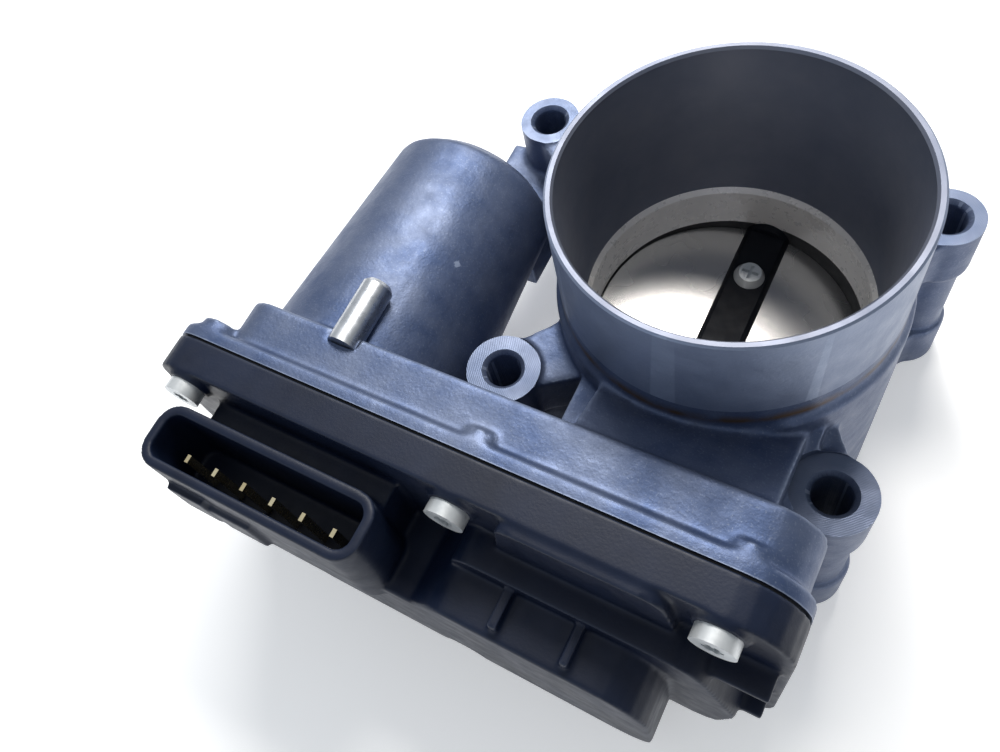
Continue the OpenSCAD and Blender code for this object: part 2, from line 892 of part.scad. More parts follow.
// A rectangle in X and Y with rounded corners
module stadium(x, y, r) {
    translate([x[0] + r, y[0]])
        square([x[1] - x[0] - 2 * r, y[1] - y[0]]);
    translate([x[0], y[0] + r])
        square([x[1] - x[0], y[1] - y[0] - 2 * r]);
    for (cx = [x[0] + r, x[1] - r], cy = [y[0] + r, y[1] - r])
        translate([cx, cy])
            circle(r = r);
}

// Thick pad on the flange between the middle and right screws, over the throttle gear
module cover_pad() {
    along_y(cover_pad_y, cover_flange_y + 1)
        polygon(rounded_outline([[-15, case_top + 1.2, 3], [13, case_top + 1.2, 4],
                                 [15, 46, 2], [-17, 46, 2]]));
}

// Ribs: across the dome's top, from the shelf out to the right edge, and below the dome
module cover_ribs() {
    for (x = [-12, 1])
        block([x - rib_t / 2, cover_front_y + 1.5, 42], [x + rib_t / 2, cover_shelf_y + 1, 46]);
    for (z = [26, 43])
        block([20, -64, z - rib_t / 2], [30.5, cover_flange_y + 1, z + rib_t / 2]);
    for (x = [-55, -42, -6, 7])
        block([x - rib_t / 2, -65, 3.5], [x + rib_t / 2, cover_flange_y + 1, 13]);
}

// Room for a screw's head and for the driver, which only the connector stands in the way of
module head_room(p) {
    front_y = p[0] < shroud_x[0] + 4 ? screw_seat_y - screw_head_h - 0.8 : cover_front_y - 1;
    rod_y(p, screw_head_r + 0.4, front_y, screw_seat_y);
}

module cover_hollows() {
    // inside of the flange, with the screw bosses left standing
    difference() {
        along_y(cover_flange_y + cover_floor, cover_back_y + 1)
            polygon(body_outline(-case_wall));
        for (p = cover_screws)
            screw_pillar(p, cover_flange_y, cover_back_y + 2);
    }
    // inside of the shelf and the dome, with a wall left round each screw's head
    difference() {
        union() {
            along_y(cover_shelf_y + cover_wall, cover_flange_y + 3)
                polygon(shelf_outline(0));
            along_y(cover_front_y + cover_wall, cover_flange_y + 3)
                polygon(dome_outline(0));
        }
        for (p = cover_screws)
            rod_y(p, screw_head_r + 2, cover_front_y, cover_flange_y + 4);
    }
}

module gear_cover() {
    color("#14161c")
    difference() {
        union() {
            along_y(cover_flange_y, cover_back_y)
                polygon(case_outline(lip_w));
            along_y(cover_shelf_y, cover_flange_y + 1)
                polygon(shelf_outline(cover_wall));
            along_y(cover_front_y, cover_flange_y + 1)
                polygon(dome_outline(cover_wall));
            for (p = cover_screws)
                rod_y(p, screw_boss_r + 0.8, screw_seat_y, cover_back_y);
            cover_pad();
            cover_ribs();
            connector_block();
        }
        cover_hollows();
        for (p = cover_screws) {
            head_room(p);
            rod_y(p, screw_r + 0.3, screw_seat_y - 0.5, cover_back_y + 1);
        }
        for (i = [0 : pin_count - 1])
            terminal(pin_first_x + pin_pitch * i);
    }
    // seat for the idler pin and post for the position sensor
    color("#14161c") {
        tube_y(idler_axis, 4.4, 2.5, cover_front_y + cover_wall - eps, cover_flange_y + 0.3);
        tube_y(shaft_axis, 5, 3.6, cover_front_y + cover_wall - eps, -61);
    }
}

module cover_gasket() {
    color("#2b2c2e")
    difference() {
        along_y(cover_back_y, joint_y)
            polygon(case_outline(0.6));
        difference() {
            along_y(cover_back_y - 1, joint_y + 1)
                polygon(body_outline(-case_wall));
            for (p = cover_screws)
                screw_pillar(p, cover_back_y - 2, joint_y + 2);
        }
        for (p = cover_screws)
            rod_y(p, screw_r + 0.3, cover_back_y - 1, joint_y + 1);
    }
}

module cover_screws() {
    color("#d3d5d8")
    for (p = cover_screws)
        difference() {
            union() {
                rod_y(p, screw_r, screw_seat_y, lobe_back_y + 0.5);
                rod_y(p, screw_head_r, screw_seat_y - screw_head_h, screw_seat_y);
            }
            for (a = [0, 60, 120])
                translate([p[0], 0, p[1]])
                    rotate([0, a, 0])
                        block([-1.7, screw_seat_y - screw_head_h - 1, -0.5], [1.7, screw_seat_y - 1.2, 0.5]);
        }
}

// An L-shaped terminal: a blade up into the socket and a leg back into the gear case
module terminal(x) {
    block([x - 0.4, pin_y - 0.8, 35], [x + 0.4, pin_y + 0.8, pin_tip_z]);
    block([x - 0.4, pin_y - 0.8, 35], [x + 0.4, cover_flange_y + cover_floor, 36.4]);
}

module connector_terminals() {
    color("#c9a45a")
    for (i = [0 : pin_count - 1])
        terminal(pin_first_x + pin_pitch * i);
}

// Two strips inside the cover that carry the motor's current to the motor terminals
module lead_frame() {
    color("#b08d57")
    for (side = [-1, 1])
        difference() {
            block([terminal_x - 1.3, cover_flange_y + 2, motor_axis[1] + 5 * side - 2.2],
                  [terminal_x + 1.3, -51, motor_axis[1] + 5 * side + 2.2]);
            block([terminal_x - 0.4, -55.2, motor_axis[1] + 5 * side - 1.6],
                  [terminal_x + 0.4, -50, motor_axis[1] + 5 * side + 1.6]);
        }
}

module position_sensor() {
    color("#1f2a22")
        rod_y(shaft_axis, 3.6, cover_front_y + cover_wall, -60.6);
}

body_casting();
bore_seal_coat();
flange_seal();
stub_pin();
end_plug();
stop_screw();
front_bearing_outer_race();
front_bearing_balls();
rear_needle_cup();
rear_needles();
front_shaft_seal();
rear_shaft_seal();
spring_guide();
return_spring();
idler_pin();
throttle_shaft();
throttle_plate();
plate_screws();
front_bearing_inner_race();
sector_gear();
sector_insert();
sensor_magnets();
idler_gear();
motor_can();
motor_magnets();
motor_rear_bush();
motor_wave_washer();
motor_end_plate();
motor_front_bush();
brush_holder();
motor_brushes();
motor_terminals();
motor_screws();
motor_shaft();
armature_stack();
armature_windings();
commutator();
motor_pinion();
gear_cover();
cover_gasket();
cover_screws();
connector_terminals();
lead_frame();
position_sensor();
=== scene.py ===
"""Looks of the throttle body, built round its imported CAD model. Metres, in the CAD model's frame."""
import json
import math

import bmesh
import bpy
from mathutils import Matrix, Vector


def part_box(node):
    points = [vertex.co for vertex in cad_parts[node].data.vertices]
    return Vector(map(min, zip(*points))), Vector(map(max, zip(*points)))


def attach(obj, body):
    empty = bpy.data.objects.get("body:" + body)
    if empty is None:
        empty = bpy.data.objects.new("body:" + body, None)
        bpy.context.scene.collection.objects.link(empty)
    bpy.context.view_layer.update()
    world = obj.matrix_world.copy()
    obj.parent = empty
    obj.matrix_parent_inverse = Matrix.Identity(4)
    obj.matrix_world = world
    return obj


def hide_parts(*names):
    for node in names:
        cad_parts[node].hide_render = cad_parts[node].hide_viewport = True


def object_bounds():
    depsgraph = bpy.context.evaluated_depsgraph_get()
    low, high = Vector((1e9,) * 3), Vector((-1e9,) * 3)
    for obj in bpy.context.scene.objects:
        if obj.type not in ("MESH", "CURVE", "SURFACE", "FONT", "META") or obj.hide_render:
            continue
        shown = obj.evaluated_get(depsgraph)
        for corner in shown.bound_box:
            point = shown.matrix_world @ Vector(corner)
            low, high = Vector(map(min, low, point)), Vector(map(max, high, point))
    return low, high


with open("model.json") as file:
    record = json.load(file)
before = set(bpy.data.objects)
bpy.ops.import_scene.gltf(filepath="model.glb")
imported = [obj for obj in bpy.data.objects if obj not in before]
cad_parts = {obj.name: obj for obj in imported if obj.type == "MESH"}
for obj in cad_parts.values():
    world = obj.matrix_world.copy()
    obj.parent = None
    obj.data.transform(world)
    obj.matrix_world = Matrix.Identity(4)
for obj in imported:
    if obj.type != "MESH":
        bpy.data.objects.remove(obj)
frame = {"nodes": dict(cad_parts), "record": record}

MM = 0.001
CAD_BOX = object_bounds()

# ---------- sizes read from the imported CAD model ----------

CASTING_HIGH = Vector(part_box("body_casting")[1])
SHAFT_LOW, SHAFT_HIGH = (Vector(corner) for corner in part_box("throttle_shaft"))
COAT_LOW, COAT_HIGH = (Vector(corner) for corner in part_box("bore_seal_coat"))

MOUNTS = {mount["name"]: mount for mount in frame["record"]["mounts"]}
SHAFT_Z = (SHAFT_LOW.z + SHAFT_HIGH.z) / 2
RIM_Z = CASTING_HIGH.z
INLET_RADIUS = MOUNTS["inlet_spigot"]["dims"]["r_mm"] * MM
COAT_RADIUS = COAT_HIGH.x
BOLT_RADIUS = MOUNTS["front_bolts"]["dims"]["hole_r_mm"] * MM
JOINT_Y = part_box("cover_gasket")[1][1]

# ---------- sizes repeated from the CAD model's source ----------

SHOULDER_Z = 54 * MM
STEP_Z = 43.4 * MM
LUG_TOP_Z = 45 * MM
INLET_WALL = 1.5 * MM
COAT_THICKNESS = 0.3 * MM
STEP_CHAMFER_WIDTH = 0.8 * MM
STEP_CHAMFER_HEIGHT = 1 * MM
INLET_INNER_RADIUS = INLET_RADIUS - INLET_WALL
BORE_RADIUS = COAT_RADIUS - COAT_THICKNESS

# ---------- sizes of the machining cuts ----------

FRONT_FACING_RADIUS = 7.2 * MM
REAR_FACING_RADIUS = 6.6 * MM
SHAFT_HOLE_RADIUS = 4.6 * MM
SHAFT_HOLE_START = SHAFT_LOW.y + 13 * MM
RIM_CHAMFER = 0.35 * MM
CUT_PAST = 1 * MM
CLEARANCE_ABOVE_LUG = 3 * MM
FINE_STEPS = 160
HOLE_STEPS = 64
Y_AXIS = 1
Z_AXIS = 2


def bolt_places():
    """The centres of the four mounting holes, from the two bolt rows in the record."""
    places = []
    for name in ("front_bolts", "rear_bolts"):
        mount = MOUNTS[name]
        half = mount["dims"]["spacing_x_mm"] * MM / 2
        x, y, _ = mount["pos_m"]
        places += [Vector((x - half, y, 0)), Vector((x + half, y, 0))]
    return places


# ---------- camera, lights and floor ----------

CAMERA_PLACE = Vector((0.02796, -0.09022, 0.20100))
LOOK_AT = Vector((-0.06003, -0.02481, 0.03000))
CAMERA_ROLL = math.radians(-27.584)
LENS_MM = 33.434
SENSOR_MM = 36
SHIFT = (0.09, -0.036)
NEAREST_SEEN = 0.005

FLOOR_SIDE = 6
FLOOR_GAP = 0.0002

BRIGHT_SIDE = (-0.66, 0.43, 0.62)
SKY_STRENGTHS = (0.10, 0.58)
SKY_COLOUR = (0.90, 0.95, 1.0, 1)
NEAR_WHITE = (1.0, 0.99, 0.97)
WARM_WHITE = (1.0, 0.96, 0.90)
PALE_BLUE = (0.80, 0.89, 1.0)
SKY_BLUE = (0.62, 0.78, 1.0)


def add_camera():
    """The camera that was fitted to the photograph, above the object and a little in front of it."""
    data = bpy.data.cameras.new("camera")
    data.lens = LENS_MM
    data.sensor_width = SENSOR_MM
    data.shift_x, data.shift_y = SHIFT
    data.clip_start = NEAREST_SEEN
    camera = bpy.data.objects.new("camera", data)
    bpy.context.scene.collection.objects.link(camera)
    aim = (LOOK_AT - CAMERA_PLACE).to_track_quat("-Z", "Y").to_matrix()
    turned = aim @ Matrix.Rotation(CAMERA_ROLL, 3, "Z")
    camera.matrix_world = Matrix.Translation(CAMERA_PLACE) @ turned.to_4x4()
    bpy.context.scene.camera = camera


def add_area_light(name, place, target, size, power, colour):
    """A rectangular lamp at a place, aimed at a target; size in metres, power in watts."""
    data = bpy.data.lights.new(name, "AREA")
    data.shape = "RECTANGLE"
    data.size, data.size_y = size
    data.energy = power
    data.color = colour
    light = bpy.data.objects.new(name, data)
    light.location = place
    light.rotation_euler = (Vector(target) - Vector(place)).to_track_quat("-Z", "Y").to_euler()
    bpy.context.scene.collection.objects.link(light)


def add_floor():
    """A white floor, a hair below the object's lowest point."""
    level = CAD_BOX[0][2] - FLOOR_GAP
    bpy.ops.mesh.primitive_plane_add(size=FLOOR_SIDE, location=(0, 0, level))
    floor = bpy.context.object
    floor.name = "floor"
    floor.data.materials.append(plain_floor())


def add_sky():
    """A plain sky that brightens evenly towards the bright side."""
    world = bpy.data.worlds.new("studio")
    world.use_nodes = True
    tree = world.node_tree
    direction = tree.nodes.new("ShaderNodeTexCoord").outputs["Generated"]
    facing = tree.nodes.new("ShaderNodeVectorMath")
    facing.operation = "DOT_PRODUCT"
    facing.inputs[1].default_value = BRIGHT_SIDE
    tree.links.new(direction, facing.inputs[0])
    amount = tree.nodes.new("ShaderNodeMapRange")
    amount.inputs["From Min"].default_value = -1
    amount.inputs["From Max"].default_value = 1
    amount.inputs["To Min"].default_value = SKY_STRENGTHS[0]
    amount.inputs["To Max"].default_value = SKY_STRENGTHS[1]
    tree.links.new(facing.outputs["Value"], amount.inputs["Value"])
    sky = tree.nodes["Background"]
    sky.inputs["Color"].default_value = SKY_COLOUR
    tree.links.new(amount.outputs["Result"], sky.inputs["Strength"])
    bpy.context.scene.world = world


def add_lights():
    """A key light behind on the left, two weaker ones in front, and one that shines into the bore."""
    add_area_light(
        "key",
        place=(-0.25, 0.35, 0.55),
        target=(0, 0, 0.03),
        size=(0.26, 0.26),
        power=2.3,
        colour=NEAR_WHITE,
    )
    add_area_light(
        "fill",
        place=(0.45, -0.20, 0.45),
        target=(0, 0, 0.03),
        size=(0.35, 0.25),
        power=0.06,
        colour=PALE_BLUE,
    )
    add_area_light(
        "front",
        place=(-0.15, -0.50, 0.22),
        target=(-0.02, -0.05, 0.03),
        size=(0.40, 0.16),
        power=0.22,
        colour=SKY_BLUE,
    )
    add_area_light(
        "into_bore",
        place=(-0.035, 0.20, 0.42),
        target=(-0.01, 0, 0.03),
        size=(0.12, 0.12),
        power=1.1,
        colour=WARM_WHITE,
    )


# ---------- materials ----------


class Look:
    """A node material being built: its shader, and short names for the nodes that feed it."""

    def __init__(self, name, **settings):
        self.material = bpy.data.materials.new(name)
        self.material.use_nodes = True
        self.tree = self.material.node_tree
        self.shader = self.tree.nodes["Principled BSDF"]
        self.place = self.node("ShaderNodeTexCoord").outputs["Object"]
        for socket, value in settings.items():
            self.shader.inputs[socket.replace("_", " ")].default_value = value

    def node(self, kind, **properties):
        """A new node of the given kind."""
        made = self.tree.nodes.new(kind)
        for key, value in properties.items():
            setattr(made, key, value)
        return made

    def link(self, source, target):
        """Joins two sockets."""
        self.tree.links.new(source, target)

    def feed(self, target, value):
        """Gives a socket its value, which is another socket or a constant."""
        if isinstance(value, bpy.types.NodeSocket):
            self.link(value, target)
        else:
            target.default_value = value

    def stretched(self, x, y, z):
        """The place in the object, scaled along each axis, so that a grain can run one way."""
        made = self.node("ShaderNodeVectorMath", operation="MULTIPLY")
        self.link(self.place, made.inputs[0])
        made.inputs[1].default_value = (x, y, z)
        return made.outputs[0]

    def noise(self, scale, detail=3, roughness=0.55, at=None):
        """Soft random blotches from 0 to 1; a larger scale makes them smaller."""
        made = self.node("ShaderNodeTexNoise")
        self.link(at or self.place, made.inputs["Vector"])
        made.inputs["Scale"].default_value = scale
        made.inputs["Detail"].default_value = detail
        made.inputs["Roughness"].default_value = roughness
        return made.outputs["Fac"]

    def rings(self, scale):
        """Faint rings round the bore axis, as a lathe tool leaves."""
        made = self.node("ShaderNodeTexWave", wave_type="RINGS", rings_direction="Z")
        self.link(self.place, made.inputs["Vector"])
        made.inputs["Scale"].default_value = scale
        made.inputs["Distortion"].default_value = 0.4
        made.inputs["Detail"].default_value = 2
        return made.outputs["Fac"]

    def spread(self, value, low, high, to_low=0.0, to_high=1.0):
        """The value's stretch from low to high, mapped to another and held at its ends."""
        made = self.node("ShaderNodeMapRange")
        self.link(value, made.inputs["Value"])
        made.inputs["From Min"].default_value = low
        made.inputs["From Max"].default_value = high
        made.inputs["To Min"].default_value = to_low
        made.inputs["To Max"].default_value = to_high
        return made.outputs["Result"]

    def math(self, operation, first, second):
        made = self.node("ShaderNodeMath", operation=operation)
        self.feed(made.inputs[0], first)
        self.feed(made.inputs[1], second)
        return made.outputs[0]

    def mix(self, amount, first, second):
        """The first colour at amount 0 and the second at amount 1."""
        made = self.node("ShaderNodeMix", data_type="RGBA")
        self.feed(made.inputs["Factor"], amount)
        colours = [socket for socket in made.inputs if socket.type == "RGBA"]
        self.feed(colours[0], first)
        self.feed(colours[1], second)
        return [socket for socket in made.outputs if socket.type == "RGBA"][0]

    def edges(self, low, high):
        """0 to 1 as a place gets more like an outer edge, or like a hollow with low above high."""
        made = self.node("ShaderNodeNewGeometry")
        return self.spread(made.outputs["Pointiness"], low, high)

    def height(self):
        """Height above the engine flange face."""
        made = self.node("ShaderNodeSeparateXYZ")
        self.link(self.place, made.inputs[0])
        return made.outputs["Z"]

    def radius(self):
        """Distance from the bore axis."""
        made = self.node("ShaderNodeVectorMath", operation="LENGTH")
        self.link(self.stretched(1, 1, 0), made.inputs[0])
        return made.outputs["Value"]

    def bump(self, height, distance, strength=1.0, below=None):
        """A raised texture, on top of the one below it if there is one."""
        made = self.node("ShaderNodeBump")
        made.inputs["Strength"].default_value = strength
        made.inputs["Distance"].default_value = distance
        self.link(height, made.inputs["Height"])
        if below:
            self.link(below, made.inputs["Normal"])
        return made.outputs["Normal"]

    def finish(self, colour, roughness, normal=None):
        """Joins up the shader and gives the finished material."""
        self.feed(self.shader.inputs["Base Color"], colour)
        self.feed(self.shader.inputs["Roughness"], roughness)
        if normal:
            self.link(normal, self.shader.inputs["Normal"])
        return self.material


def rgb(red, green, blue):
    return (red, green, blue, 1)


def plain_floor():
    """The white ground, which shines a little itself so that it stays as bright as in the photo."""
    look = Look("floor_white", Specular_IOR_Level=0.2, Emission_Color=rgb(1, 1, 1), Emission_Strength=0.36)
    colour = look.mix(look.noise(3), rgb(0.93, 0.935, 0.94), rgb(0.95, 0.95, 0.955))
    return look.finish(colour, 0.75)


def stain(look):
    """Amount of the brown film in the corner where the inlet tube stands on its shoulder."""
    above = look.spread(look.height(), SHOULDER_Z - 0.4 * MM, SHOULDER_Z + 0.6 * MM)
    below = look.spread(look.height(), SHOULDER_Z + 3 * MM, SHOULDER_Z + 0.8 * MM)
    near = look.spread(look.radius(), INLET_RADIUS + 1.6 * MM, INLET_RADIUS + 1.0 * MM)
    patchy = look.spread(look.noise(160, 3), 0.35, 0.6)
    in_corner = look.math("MULTIPLY", above, below)
    on_tube = look.math("MULTIPLY", near, patchy)
    return look.math("MULTIPLY", in_corner, on_tube)


def cast_aluminium():
    """Blue-grey cast skin: mottled and grainy, brighter on edges, with painted shade darkening its
    hollows.
    """
    look = Look("cast_aluminium", Metallic=0.6)
    mottle = look.spread(look.noise(70, 5, 0.6), 0.35, 0.65)
    colour = look.mix(mottle, rgb(0.055, 0.085, 0.175), rgb(0.125, 0.155, 0.240))
    speck = look.spread(look.noise(2600, 2), 0.58, 0.72)
    colour = look.mix(look.math("MULTIPLY", speck, 0.35), colour, rgb(0.23, 0.27, 0.35))
    colour = look.mix(look.edges(0.515, 0.57), colour, rgb(0.27, 0.32, 0.44))
    # Painted shade: hollows and creases are darkened towards a deep blue-grey.
    colour = look.mix(look.edges(0.47, 0.42), colour, rgb(0.040, 0.055, 0.090))
    colour = look.mix(stain(look), colour, rgb(0.11, 0.065, 0.03))
    roughness = look.spread(look.noise(240, 4), 0.3, 0.7, 0.40, 0.56)
    grain = look.bump(look.noise(1500, 3, 0.6), 0.00010, 0.55)
    skin = look.bump(look.noise(260, 3, 0.5), 0.00022, 0.35, grain)
    return look.finish(colour, roughness, skin)


def machined_aluminium():
    """Machined flat faces: a little brighter than the cast skin, with fine rings."""
    look = Look("machined_aluminium", Metallic=0.8)
    mottle = look.spread(look.noise(110, 3), 0.3, 0.7)
    colour = look.mix(mottle, rgb(0.085, 0.110, 0.175), rgb(0.145, 0.170, 0.240))
    roughness = look.spread(look.noise(500, 3), 0.3, 0.7, 0.34, 0.46)
    return look.finish(colour, roughness, look.bump(look.rings(900), 0.00003, 0.35))


def bore_aluminium():
    """The turned inside of the inlet, dull, with fine lines round it."""
    look = Look("bore_aluminium", Metallic=0.55)
    mottle = look.spread(look.noise(45, 4, 0.6), 0.3, 0.7)
    colour = look.mix(mottle, rgb(0.13, 0.15, 0.21), rgb(0.20, 0.215, 0.27))
    lines = look.noise(60, 3, 0.6, look.stretched(1, 1, 40))
    roughness = look.spread(look.noise(160, 4), 0.3, 0.7, 0.38, 0.50)
    return look.finish(colour, roughness, look.bump(lines, 0.00005, 0.35))


def throat_aluminium():
    """The finely turned bore wall below the step, the brightest metal."""
    look = Look("throat_aluminium", Metallic=0.25)
    mottle = look.spread(look.noise(90, 3), 0.2, 0.8)
    colour = look.mix(mottle, rgb(0.80, 0.77, 0.73), rgb(0.92, 0.89, 0.85))
    roughness = look.spread(look.noise(400, 3), 0.3, 0.7, 0.24, 0.34)
    return look.finish(colour, roughness, look.bump(look.rings(800), 0.00002, 0.3))


def black_plastic():
    """Black plastic, faintly blue in the light, with a fine moulded grain."""
    look = Look("black_plastic", Specular_IOR_Level=0.30)
    tone = look.spread(look.noise(90, 4), 0.3, 0.7)
    colour = look.mix(tone, rgb(0.0030, 0.0070, 0.022), rgb(0.0065, 0.0130, 0.036))
    colour = look.mix(look.edges(0.52, 0.60), colour, rgb(0.040, 0.050, 0.080))
    roughness = look.spread(look.noise(300, 4), 0.3, 0.7, 0.38, 0.52)
    return look.finish(colour, roughness, look.bump(look.noise(1900, 3), 0.00006, 0.4))


def satin_metal(name, dark, light, rough, grain=700, metallic=1.0):
    """Plain metal between a dark and a light tone."""
    look = Look(name, Metallic=metallic)
    tone = look.spread(look.noise(180, 3), 0.3, 0.7)
    colour = look.mix(tone, rgb(*dark), rgb(*light))
    roughness = look.spread(look.noise(600, 3), 0.3, 0.7, rough - 0.06, rough + 0.06)
    return look.finish(colour, roughness, look.bump(look.noise(grain, 3), 0.00004, 0.3))


def soft_finish(name, dark, light, rough, grain=1400):
    """Plain plastic, rubber or coating between a dark and a light tone."""
    look = Look(name)
    tone = look.spread(look.noise(200, 3), 0.3, 0.7)
    colour = look.mix(tone, rgb(*dark), rgb(*light))
    roughness = look.spread(look.noise(500, 3), 0.3, 0.7, rough - 0.05, rough + 0.07)
    return look.finish(colour, roughness, look.bump(look.noise(grain, 3), 0.00008, 0.4))


def black_shaft_coating():
    """The throttle shaft's matt black coating."""
    look = Look("black_coating", Specular_IOR_Level=0.15)
    tone = look.spread(look.noise(200, 3), 0.3, 0.7)
    colour = look.mix(tone, rgb(0.003, 0.004, 0.008), rgb(0.008, 0.010, 0.015))
    roughness = look.spread(look.noise(500, 3), 0.3, 0.7, 0.50, 0.62)
    return look.finish(colour, roughness, look.bump(look.noise(900, 3), 0.00004, 0.3))


def turned_plate():
    """The throttle plate: smooth satin metal, slightly uneven, with faint turning rings."""
    look = Look("turned_plate", Metallic=0.9)
    tone = look.spread(look.noise(60, 4), 0.2, 0.8)
    colour = look.mix(tone, rgb(0.52, 0.51, 0.51), rgb(0.60, 0.59, 0.585))
    roughness = look.spread(look.noise(60, 2), 0.3, 0.7, 0.24, 0.30)
    return look.finish(colour, roughness, look.bump(look.rings(700), 0.00001, 0.08))


METALS = {
    "steel": ("ground_steel", (0.56, 0.58, 0.62), (0.70, 0.72, 0.75), 0.30),
    "zinc_screw": ("zinc_plate", (0.55, 0.58, 0.60), (0.74, 0.76, 0.77), 0.36, 700, 0.6),
    "spring_steel": ("spring_steel", (0.30, 0.31, 0.33), (0.42, 0.43, 0.45), 0.34),
    "insert": ("stamped_insert", (0.42, 0.43, 0.45), (0.55, 0.56, 0.58), 0.36),
    "can": ("drawn_can", (0.52, 0.54, 0.57), (0.64, 0.66, 0.69), 0.32),
    "bronze": ("sintered_bronze", (0.50, 0.33, 0.16), (0.62, 0.44, 0.24), 0.42),
    "contact": ("plated_contact", (0.72, 0.60, 0.36), (0.86, 0.76, 0.52), 0.25),
    "copper": ("copper_wire", (0.60, 0.27, 0.12), (0.76, 0.40, 0.20), 0.30),
    "lamination": ("laminations", (0.24, 0.25, 0.27), (0.36, 0.37, 0.39), 0.45),
}
PLASTICS_AND_RUBBERS = {
    "coat": ("sealing_coat", (0.012, 0.012, 0.013), (0.03, 0.03, 0.032), 0.6),
    "seal": ("seal_rubber", (0.018, 0.018, 0.019), (0.035, 0.035, 0.037), 0.55),
    "gear_black": ("dark_gear_plastic", (0.03, 0.031, 0.035), (0.05, 0.052, 0.058), 0.42),
    "gear_natural": ("natural_gear_plastic", (0.66, 0.62, 0.50), (0.76, 0.72, 0.62), 0.42),
    "magnet": ("ferrite", (0.06, 0.06, 0.065), (0.10, 0.10, 0.105), 0.55),
    "carrier": ("brush_carrier", (0.05, 0.07, 0.055), (0.08, 0.10, 0.085), 0.5),
    "carbon": ("carbon", (0.02, 0.02, 0.021), (0.045, 0.045, 0.046), 0.5),
    "gasket": ("gasket_rubber", (0.02, 0.02, 0.021), (0.04, 0.04, 0.042), 0.6),
    "sensor": ("sensor_body", (0.04, 0.07, 0.05), (0.07, 0.10, 0.08), 0.5),
}
OWN_LOOKS = {
    "casting": cast_aluminium,
    "cover": black_plastic,
    "black_shaft": black_shaft_coating,
    "plate_metal": turned_plate,
}
MADE = {}


def make_look(slot):
    if slot in METALS:
        return satin_metal(*METALS[slot])
    if slot in PLASTICS_AND_RUBBERS:
        return soft_finish(*PLASTICS_AND_RUBBERS[slot])
    return OWN_LOOKS[slot]()


def look_of(slot):
    """The material of a slot in the record, made once and then kept."""
    if slot not in MADE:
        MADE[slot] = make_look(slot)
    return MADE[slot]


def dress_cad_nodes():
    """Gives every CAD node the material of its slot in the record."""
    for entry in frame["record"]["subparts"]:
        node = frame["nodes"][entry["node"]]
        for place in node.material_slots:
            place.material = look_of(entry["material_slot"])


# ---------- mesh helpers ----------

WELD_DISTANCE = 0.001 * MM
LEVEL_TOLERANCE = 0.01 * MM
SMOOTH_FACTOR = 0.5


def loose_copy(node, name):
    """A free copy of a CAD node's mesh, welded shut, because a boolean needs a closed mesh."""
    source = frame["nodes"][node]
    mesh = source.data.copy()
    mesh.name = name
    mesh.transform(source.matrix_world)
    mesh.materials.clear()
    shape = bmesh.new()
    shape.from_mesh(mesh)
    bmesh.ops.remove_doubles(shape, verts=shape.verts, dist=WELD_DISTANCE)
    shape.to_mesh(mesh)
    shape.free()
    copy = bpy.data.objects.new(name, mesh)
    bpy.context.scene.collection.objects.link(copy)
    return copy


def apply_all(obj):
    """Turns the object's modifiers into its mesh."""
    graph = bpy.context.evaluated_depsgraph_get()
    mesh = bpy.data.meshes.new_from_object(obj.evaluated_get(graph))
    obj.modifiers.clear()
    old = obj.data
    obj.data = mesh
    bpy.data.meshes.remove(old)


def round_edges(obj, voxel, passes):
    """Gives a copied mesh the soft edges and fillets of a casting or moulding."""
    remesh = obj.modifiers.new("remesh", "REMESH")
    remesh.mode = "VOXEL"
    remesh.voxel_size = voxel
    smooth = obj.modifiers.new("smooth", "SMOOTH")
    smooth.factor = SMOOTH_FACTOR
    smooth.iterations = passes
    apply_all(obj)


def combine(obj, tool, operation):
    """Joins a tool's shape to the object, or cuts it out, and drops the tool."""
    join = obj.modifiers.new("join", "BOOLEAN")
    join.operation = operation
    join.solver = "MANIFOLD"
    join.object = tool
    apply_all(obj)
    bpy.data.objects.remove(tool)


def turned_tool(name, profile, steps=FINE_STEPS, axis_at=(0, 0, 0), axis="Z"):
    """A closed solid turned from (radius, height) points, about Z or Y through the given point."""
    mesh = bpy.data.meshes.new(name)
    shape = bmesh.new()
    rings = []
    for radius, height in profile:
        ring = []
        for step in range(steps):
            angle = 2 * math.pi * step / steps
            across, up = radius * math.cos(angle), radius * math.sin(angle)
            point = (across, up, height) if axis == "Z" else (across, height, up)
            ring.append(shape.verts.new(Vector(point) + Vector(axis_at)))
        rings.append(ring)
    for lower, upper in zip(rings, rings[1:]):
        for step in range(steps):
            after = (step + 1) % steps
            shape.faces.new((lower[step], lower[after], upper[after], upper[step]))
    shape.faces.new(list(reversed(rings[0])))
    shape.faces.new(rings[-1])
    bmesh.ops.recalc_face_normals(shape, faces=shape.faces)
    shape.to_mesh(mesh)
    shape.free()
    tool = bpy.data.objects.new(name, mesh)
    bpy.context.scene.collection.objects.link(tool)
    return tool


def box_tool(name, low, high):
    """A solid box between two corners."""
    mesh = bpy.data.meshes.new(name)
    shape = bmesh.new()
    bmesh.ops.create_cube(shape, size=1)
    low, high = Vector(low), Vector(high)
    for vert in shape.verts:
        vert.co = Vector((low[i] + (vert.co[i] + 0.5) * (high[i] - low[i]) for i in range(3)))
    shape.to_mesh(mesh)
    shape.free()
    tool = bpy.data.objects.new(name, mesh)
    bpy.context.scene.collection.objects.link(tool)
    return tool


def stretch_faces(obj, axis, level, to_level):
    """Moves the vertices at one level to another, so that a later cut there leaves a crisp edge."""
    for vert in obj.data.vertices:
        if abs(vert.co[axis] - level) < LEVEL_TOLERANCE:
            vert.co[axis] = to_level


# ---------- body casting ----------

WELL_OUTSIDE = 0.2
FAR_BELOW = -0.1
UNDER_CUT_LOW = -0.05
CAST_VOXEL = 0.5 * MM
CAST_SMOOTHING = 14
FACE_STOCK = 2 * MM
LUG_STOCK = 1 * MM
PLUG_SHRINK = 0.1 * MM

